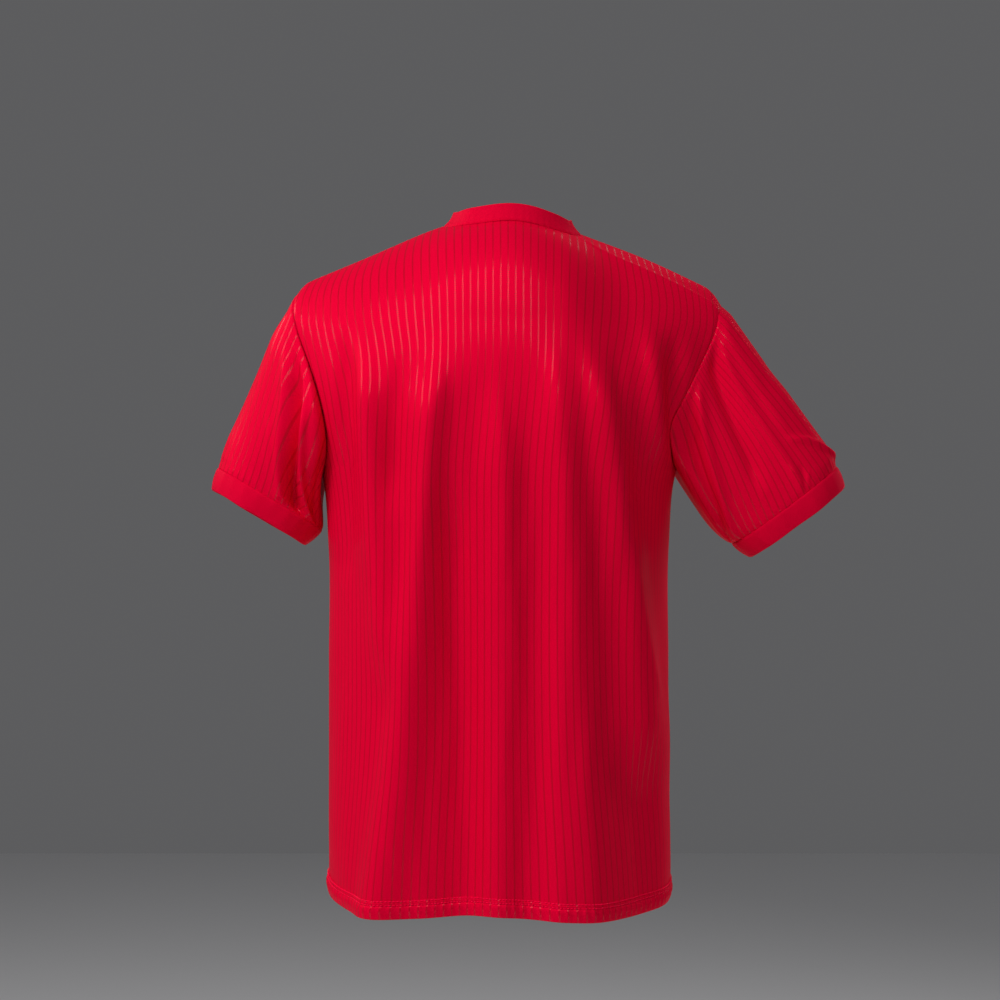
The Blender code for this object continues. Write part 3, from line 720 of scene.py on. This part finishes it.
def stitches(name, face):
    """Dashes of thread: rings of points at a few places along each, their middles on a parabola
    over the cloth and their radii the square root of a parabola, so that the ends are round."""
    step = 0.002
    along = np.linspace(-1, 1, PLACES)
    turn = np.linspace(0, 2 * np.pi, RING + 1)[:-1]
    places, flats = [], []
    for from_edge in HEM_ROWS:
        half = CHEST_QUARTER - STITCH_HALF - STITCH_CLEAR
        middle = np.arange(-half, half, STITCH_PITCH)
        across = middle[:, None] + along[None, :] * STITCH_HALF
        c = across / CHEST_QUARTER
        r = 2 - from_edge / (hem_drop(face, c) - UNDERARM_DROP)
        point, flat = panel_place(face, c, r)
        ahead = panel_place(face, c + step, r)[0] - point
        below = panel_place(face, c, r + step)[0] - point
        normal = face * unit(np.cross(ahead, below))
        aside = unit(np.cross(normal, ahead))
        arch = THREAD_HALF * (ARCH_TOP - ARCH_FALL * along ** 2) + HEM_GROOVE * GROOVE_LIFT
        radius = THREAD_HALF * np.sqrt(DASH_ROUND - along ** 2)
        centre = point + normal * arch[None, :, None]
        ring = (normal[:, :, None] * np.cos(turn)[:, None]
                + aside[:, :, None] * np.sin(turn)[:, None])
        places.append(centre[:, :, None] + ring * radius[None, :, None, None])
        flats.append(np.broadcast_to(flat[:, :, None], places[-1].shape[:3] + (2,)))
    grid = np.concatenate(places)
    flat = np.concatenate(flats)
    first = RING * PLACES * np.arange(len(grid))[:, None, None]
    low = np.arange(RING)
    beside = (low + 1) % RING
    base = RING * np.arange(PLACES - 1)[:, None]
    quad = np.stack((base + RING + low, base + RING + beside, base + beside, base + low), -1)
    faces = (quad.reshape(-1, 4)[None] + first).reshape(-1, 4)
    ends = np.stack((low, RING * (PLACES - 1) + low[::-1]))
    caps = (ends[None] + first).reshape(-1, RING)
    mesh = bpy.data.meshes.new(name)
    mesh.from_pydata(grid.reshape(-1, 3).tolist(), [], faces.tolist() + caps.tolist())
    layer = mesh.uv_layers.new(name="cut")
    corners = np.concatenate((faces.ravel(), caps.ravel()))
    layer.data.foreach_set("uv", flat.reshape(-1, 2)[corners].ravel())
    mesh.materials.append(thread)
    mesh.shade_smooth()
    piece = bpy.data.objects.new(name, mesh)
    scene.collection.objects.link(piece)
    return piece


thread = thread_material()
for name, face, panel_piece, flat, area in (
        ("back_hem_stitches", BACK, back, back_flat, back_area),
        ("front_hem_stitches", FRONT, front, front_flat, front_area)):
    row = stitches(name, face)
    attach(row, "root")


# ---- Sleeves ----
# One piece of the knit each, its stripes square to the cuff, eased into the armhole at its head
# and closed under the arm. It is gathered a little into the narrower cuff, one pucker to a stripe.
CAP_ROUND = 0.035            # how far the cloth leaves the armhole the way the panel runs, and
CAP_FALL = 0.2               # the share of the way to the cuff that is added to it
SLEEVE_RUN = 0.13            # rough length of a sleeve's rows
FAN = 2.2                    # how much wider the cut grows, per metre up from the cuff
HEAVE_PLACE = 0.27           # place round the armhole, and half width, where the cloth stands
HEAVE_HALF = 0.13            # up out of the seam
ARMHOLE_ENDS = (0.03, 0.99)  # shares of the armhole past which its way out stays the same

# Middle of the cuff seam, direction of the arm, half width and half depth of the seam's oval, the
# ways the cloth leaves the underarm and enters the seam there, half width of the cuff's free edge
# and the run to it, and how much the cloth stands up out of the armhole.
SLEEVES = {
    LEFT: dict(
        mouth=(0.2500, -0.004, -0.2825), axis=(0.510, 0.060, -0.860),
        half_width=0.0640, half_depth=0.0460,
        under=(0.12, 0.0, -0.80), lip=(0.12, 0.0, -0.99),
        cuff_half_width=0.0575, cuff_run=(0.0120, 0.001, -0.0200), heave=0.115),
    RIGHT: dict(
        mouth=(-0.2893, 0.004, -0.2888), axis=(-0.596, -0.020, -0.803),
        half_width=0.0685, half_depth=0.0470,
        under=(-0.46, 0.0, -0.89), lip=(-0.90, 0.0, -0.45),
        cuff_half_width=0.0625, cuff_run=(-0.0137, 0.0, -0.0185), heave=0.0),
}

# Sleeve folds, + a ridge and - a trough. Columns: place round the armhole of its line at the
# armhole and at the cuff (0 tip, 0.5 underarm, then the front), start and end along the sleeve,
# half width round it, height.
SLEEVE_FOLDS = {
    LEFT: (
        (0.084, 0.296, 0.14, 1.10, 0.017, 0.0050),
        (0.126, 0.350, 0.10, 1.10, 0.021, -0.0140),
        (0.162, 0.402, 0.16, 1.10, 0.017, 0.0052),
        (-0.030, 0.285, 0.55, 1.05, 0.014, 0.0012),
        (0.36, 0.42, -0.2, 1.05, 0.030, -0.0035),
        (0.00, 0.00, 0.13, 1.05, 0.100, 0.0060),
        (0.82, 0.80, 0.10, 1.10, 0.035, 0.0050),
        (0.70, 0.72, 0.10, 1.10, 0.030, -0.0045),
        (0.90, 0.84, 0.20, 1.05, 0.014, -0.0022),
        (0.76, 0.66, 0.20, 1.05, 0.014, 0.0026)),
    RIGHT: (
        (0.070, 0.150, 0.05, 0.80, 0.016, 0.0016),
        (0.110, 0.300, -0.05, 0.85, 0.019, -0.0060),
        (0.100, 0.200, 0.00, 1.03, 0.014, 0.0022),
        (0.170, 0.440, 0.00, 1.10, 0.020, 0.0046),
        (0.205, 0.485, 0.00, 1.10, 0.022, -0.0042),
        (0.476, 0.000, 0.70, 1.05, 0.0110, 0.0036),
        (0.078, 0.203, 0.80, 1.04, 0.0060, 0.0018),
        (-0.046, 0.194, 0.84, 1.03, 0.0045, -0.0012),
        (-0.209, 0.191, 0.90, 1.03, 0.0040, 0.0010),
        (0.02, 0.02, -0.10, 0.60, 0.090, 0.0030),
        (0.02, 0.02, 0.45, 1.10, 0.090, 0.0045),
        (0.84, 0.82, 0.10, 1.10, 0.035, 0.0050),
        (0.72, 0.74, 0.10, 1.10, 0.030, -0.0045),
        (0.90, 0.86, 0.20, 1.05, 0.014, -0.0022),
        (0.78, 0.68, 0.20, 1.05, 0.014, 0.0026)),
}

FOLD_ENDS = 0.25             # share of a fold's length over which it dies away, and the shares of
HEAD_FADE = 0.15             # the sleeve over which all folds die away at the armhole and the cuff
FOOT_FADE = 0.07
CUFF_GATHER = 0.0007         # height of the puckers above the cuff seam, their length, and how
GATHER_RUN = 0.011           # far over the seam they start
GATHER_START = (0, 0.003)
HEAD_DIP = 0.8               # reach of the dip at the armhole, as a share of that at the cuff


def edge(face, flat_curve, s, ends, turn):
    """Worn edge of a panel along a curve of its cut, and the way out of the panel there: where a
    small step square to the curve leads. Past the ends it is that of the nearest place inside."""
    step = 0.001
    inner = np.clip(s, *ends)
    run = np.array(flat_curve(inner + step)) - np.array(flat_curve(inner - step))
    run_across, run_down = step * turn * run / np.hypot(*run)
    across, down = flat_curve(inner)
    way_out = body(face, across + run_down, down - run_across) - body(face, across, down)
    return body(face, *flat_curve(s)), unit(way_out)


def armhole(side, v):
    """Edge and way out round an armhole: v is 0 at the tip, 0.5 at the underarm."""
    place, way_out = np.zeros((len(v), 3)), np.zeros((len(v), 3))
    for face, part, share in ((BACK, v <= 0.5, 2 * v), (FRONT, v > 0.5, 2 - 2 * v)):
        def flat_curve(s):
            return cut(face, np.full_like(s, side), s)
        place[part], way_out[part] = edge(face, flat_curve, share[part], ARMHOLE_ENDS, side)
    return place, way_out


def mouth(side, v, half_width, half_depth):
    """Oval round the arm's axis, seen from its middle: the cosine of the angle times the half
    width towards the shoulder tip, and its sine times the half depth towards the back."""
    axis = unit(np.array(SLEEVES[side]["axis"]))
    depthwise = unit(np.array((0, 1, 0)) - axis * axis[1])
    tipwise = np.cross(axis, depthwise) * side
    angle = 2 * np.pi * v[:, None]
    return tipwise * half_width * np.cos(angle) + depthwise * half_depth * np.sin(angle)


def bare_sleeve(side, v, t):
    """Rows of a sleeve: from each point of the armhole one cubic runs to the cuff seam, given by
    its two ends and its directions there, blended by the sine of the place to the third power."""
    size = SLEEVES[side]
    start, way_out = armhole(side, v)
    start = start + way_out * SEAM_GAP
    end = np.array(size["mouth"]) + mouth(side, v, size["half_width"], size["half_depth"])
    chord = end - start
    length = np.linalg.norm(chord, axis=1)[:, None]
    under = (np.sin(np.pi * v) ** 3)[:, None]
    leave = ((1 - under) * (way_out * CAP_ROUND + chord * CAP_FALL)
             + under * length * unit(np.array(size["under"])))
    leave[:, 1] += size["heave"] * bell(v - HEAVE_PLACE, HEAVE_HALF)
    enter = length * unit((1 - under) * unit(np.array(size["axis"]))
                          + under * unit(np.array(size["lip"])))
    t = t[:, None, None]
    return (start + (3 * t ** 2 - 2 * t ** 3) * chord + t * (1 - t) ** 2 * leave
            + t ** 2 * (t - 1) * enter)


def sleeve_cut(side, v, rows):
    """Flat place: up is the height over the cuff seam along the arm's axis. Round is the length
    along the seam's oval to the point's angle about the axis, growing by FAN up the sleeve."""
    size = SLEEVES[side]
    turns = np.linspace(-1.3, 1.3, 1041)
    ring = mouth(side, turns, size["half_width"], size["half_depth"])
    length = np.concatenate(([0], np.cumsum(np.linalg.norm(np.diff(ring, axis=0), axis=1))))
    length = length - np.interp(0, turns, length)
    axis = unit(np.array(size["axis"]))
    tipwise, depthwise = mouth(side, np.array((0, 0.25)), 1, 1)
    away = rows - np.array(size["mouth"])
    turn = np.arctan2(away @ depthwise / size["half_depth"], away @ tipwise / size["half_width"])
    turn = turn / (2 * np.pi)
    turn = turn + np.round((v - 1) - turn)
    up = -away @ axis
    return np.stack((np.interp(turn, turns, length) * (1 + FAN * up), -up), -1)


def sleeve_relief(side, v, t, flat_place):
    """Sleeve folds as bells across lines that run straight from head to foot, the dips into both
    seams, and the puckers above the cuff: a cosine with one wave to a stripe, dying away up the
    sleeve as a bell."""
    t = t[:, None]
    total = np.zeros((len(t), len(v)))
    for v_head, v_foot, t_head, t_foot, half_width, height in SLEEVE_FOLDS[side]:
        line = v_head + (v_foot - v_head) * t
        ends = FOLD_ENDS * min(1, t_foot - t_head)
        faded = smooth((t - t_head) / ends) * smooth((t_foot - t) / ends)
        away = (v - line + 0.5) % 1 - 0.5
        total += height * faded * bell(away, half_width)
    total = total * smooth(t / HEAD_FADE) * smooth((1 - t) / FOOT_FADE)
    up = np.maximum(-flat_place[..., 1], 0)
    across = flat_place[..., 0]
    from_head = t * SLEEVE_RUN
    pucker = (np.cos(2 * np.pi * across / STRIPE_PITCH + np.sin(across * 40))
              * uneven(across, 0.45, 71, 29, side))
    total += CUFF_GATHER * pucker * bell(up, GATHER_RUN) * rise(up, GATHER_START)
    return total - SEAM_DIP * (bell(up, SEAM_REACH) + bell(from_head, SEAM_REACH * HEAD_DIP))


def raised(rows, height, side):
    """A closed grid with each point moved out of the surface by its height."""
    round_it = np.roll(rows, -1, axis=1) - np.roll(rows, 1, axis=1)
    along = np.gradient(rows, axis=0)
    return rows + side * unit(np.cross(along, round_it)) * height[..., None]


AROUND = 176                 # columns round a sleeve, and its rows, closer at both seams
SLEEVE_ROWS = np.concatenate(((0, 0.006, 0.014, 0.024), np.linspace(0.036, 0.88, 66),
                              np.linspace(0.88, 1, 20)[1:]))
for side, word in ((LEFT, "left"), (RIGHT, "right")):
    v = 0.5 + np.linspace(0, 1, AROUND + 1)
    rows = bare_sleeve(side, v % 1, SLEEVE_ROWS)
    flat_place = sleeve_cut(side, v, rows)
    relief = sleeve_relief(side, v, SLEEVE_ROWS, flat_place)
    rows = raised(rows[:, :-1], relief[:, :-1], side)
    if side == RIGHT:
        rows, flat_place = np.roll(rows[:, ::-1], 1, axis=1), flat_place[:, ::-1]
    sleeve = cloth_piece("sleeve_%s_cloth" % word, rows, flat_place, KNIT_WALL, knit)
    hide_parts("sleeve_" + word)
    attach(sleeve, "root")
    flat_area(flat_place)


# ---- Cuffs ----
# Each is a strip of plain fine rib, folded double along its free edge, with both raw edges sewn
# into the cuff seam. The strip is a little shorter than the sleeve, so it draws the sleeve in.
RIB_HALF = 0.0010            # half thickness of the doubled rib
RIB_RED = (0.63, 0.0008, 0.027, 1)
RIB_PITCH = 0.0014           # from one rib to the next, and how much they lean
RIB_LEAN = 0.30
RIB_RELIEF = 0.05            # heights for the bump, millimetres: ridge, course and fleck
RIB_COURSE = 0.02
RIB_FLECK = 0.08
RIB_FLECK_SCALE = 900.0
BAND_DIP = 0.0006            # how far a band dips into its seam, and over what distance
BAND_REACH = 0.0012
BEND_POINTS = 9              # points of the half circle round the fold
CUFF_TAPER = 0.003           # how much less deep the oval of the free edge is
CUFF_AROUND = 240


def rib_material():
    """Fine ridges as a cosine round the band, broken up by a finer one along them."""
    material, shader, place, across, down = cloth_material("red_rib_cloth")
    ridge = (across + down * RIB_LEAN).wave(RIB_PITCH) * RIB_RELIEF
    ridge = ridge + down.wave(COURSE) * RIB_COURSE
    fleck = place.node("ShaderNodeTexNoise", {"noise_dimensions": "2D"},
                       {"Vector": place, "Scale": RIB_FLECK_SCALE, "Detail": 2.0})
    bump = place.node("ShaderNodeBump", {}, {
        "Strength": 0.8, "Distance": 0.001, "Height": ridge + fleck * RIB_FLECK})
    set_shader(place, shader, {
        "Base Color": place.mix(fleck, RIB_RED, KNIT_SHADE),
        "Normal": bump,
    }, {
        "Roughness": 0.6,
        "Metallic": 0.12,
        "Specular IOR Level": 0.06,
        "Specular Tint": (1.0, 0.08, 0.15, 1),
        "Sheen Weight": 0.10,
        "Sheen Roughness": 0.4,
        "Sheen Tint": (1.0, 0.03, 0.12, 1),
    })
    return material


rib = rib_material()


def rib_band(name, outside, turn, wave):
    """A doubled band from the grid of its outside, seam first: out along it, a half circle round
    the fold, and back along the inside. The outside dips into the seam and ripples by a wave."""
    round_it = np.roll(outside, -1, axis=1) - np.roll(outside, 1, axis=1)
    along = np.gradient(outside, axis=0)
    normal = turn * unit(np.cross(along, round_it))
    from_seam = np.linalg.norm(np.diff(outside, axis=0), axis=2).mean(1)
    from_seam = np.concatenate(([0], np.cumsum(from_seam)))[:, None]
    relief = wave - BAND_DIP * bell(from_seam, BAND_REACH)
    outside = outside + normal * relief[..., None]
    bend = np.linspace(0, np.pi, BEND_POINTS)[1:-1, None, None]
    fold = (outside[-1] - RIB_HALF * normal[-1]
            + RIB_HALF * (np.cos(bend) * normal[-1] + np.sin(bend) * unit(along[-1])))
    inside = (outside - 2 * RIB_HALF * normal)[::-1]
    rows = np.concatenate((outside, fold, inside))
    ring = np.linalg.norm(np.roll(rows[0], -1, axis=0) - rows[0], axis=1)
    across = np.concatenate(([0], np.cumsum(ring)))
    profile = np.linalg.norm(np.roll(rows[:, 0], -1, axis=0) - rows[:, 0], axis=1)
    down = np.concatenate(([0], np.cumsum(profile)))
    flat_place = np.stack(np.broadcast_arrays(across[None, :], down[:, None]), -1)
    if turn < 0:
        rows, flat_place = np.roll(rows[:, ::-1], 1, axis=1), flat_place[:, ::-1]
    piece = cloth_piece(name, rows, flat_place, 0, rib)
    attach(piece, "root")
    return piece


# Steps across a band from its seam, closer at the seam and at the fold.
BAND_STEPS = np.concatenate(((0, 0.02, 0.05, 0.09, 0.14), np.linspace(0.22, 0.90, 10),
                             (0.93, 0.952)))


def ripple(v, t, waves):
    """Sum of cosines round a band, each of a number of waves, a start, and a height at the seam
    and at the fold."""
    return sum(np.cos(2 * np.pi * (count * v + start)) * (at_seam + (at_fold - at_seam) * t)
               for count, start, at_seam, at_fold in waves)


CUFF_WAVES = ((5, 0.1, 0.0, 0.0008), (8, 0.4, 0.0001, 0.0006), (23, 0.7, 0.00025, 0.0))
for side, word in ((LEFT, "left"), (RIGHT, "right")):
    size = SLEEVES[side]
    v = 0.5 + np.linspace(0, 1, CUFF_AROUND + 1)[:-1]
    t = BAND_STEPS[:, None, None]
    half_width = size["half_width"] + (size["cuff_half_width"] - size["half_width"]) * t ** 2
    rows = (np.array(size["mouth"]) + np.array(size["cuff_run"]) * t
            + mouth(side, v, half_width, size["half_depth"] - CUFF_TAPER * t ** 2))
    cuff = rib_band("cuff_%s_band" % word, rows, side, ripple(v, t[..., 0], CUFF_WAVES))
    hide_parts("cuff_" + word)


# ---- Collar ----
# A band of the same doubled rib, sewn round the neck hole and closed in a ring. It leans in over
# the neck from its seam and then stands up, straighter at the nape.
COLLAR_HEIGHT = 0.019
COLLAR_LEANS = ((0.70, 0.30), (0.25, 0.75))   # inwards and up, at the seam and at the fold
COLLAR_NAPE = (0.45, 0.10)   # how much less inwards and more up at the nape
COLLAR_WAVES = ((7, 0.2, 0.0001, 0.0003), (11, 0.6, 0.0001, 0.0002), (59, 0.0, 0.00010, 0.0))
COLLAR_HALF = 170            # columns of each half of the band, back and front
COLLAR_EVENING = 40          # rounds that even out the way in from the neck hole
COLLAR_REACH = 0.995         # factor on a band's steps that leaves room for the fold on top
NECK_ENDS = (-0.97, 0.97)    # shares of a neck hole past which its way out stays the same


def collar_outside(t, columns):
    """Grid of the collar's outside: from the neck hole's edge a parabola that starts along one
    lean, inwards and up, and ends along the other."""
    bases, ways = [], []
    for face in (BACK, FRONT):
        def flat_curve(s):
            return top_edge(face, NECK_SHARE * s)
        round_half = face * np.linspace(1, -1, columns + 1)[:-1]
        place, way_out = edge(face, flat_curve, round_half, NECK_ENDS, 1)
        bases.append(place)
        ways.append(way_out)
    base, way_out = np.concatenate(bases), np.concatenate(ways)
    for _ in range(COLLAR_EVENING):
        way_out = unit(2 * way_out + np.roll(way_out, 1, axis=0) + np.roll(way_out, -1, axis=0))
    up = np.array((0, 0, 1))
    nape = np.maximum(-way_out[:, 1:2], 0) ** 2
    low, high = (unit((inward - less * nape) * way_out + (rising + less * nape) * up)
                 for (inward, rising), less in zip(COLLAR_LEANS, COLLAR_NAPE))
    t = t[:, None, None]
    return base + SEAM_GAP * way_out + COLLAR_HEIGHT * (t * (1 - t / 2) * low + t ** 2 / 2 * high)


rows = collar_outside(BAND_STEPS * COLLAR_REACH, COLLAR_HALF)
around = np.arange(2 * COLLAR_HALF) / (2 * COLLAR_HALF)
collar = rib_band("collar_band", rows, -1, ripple(around, BAND_STEPS[:, None], COLLAR_WAVES))
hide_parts("collar")
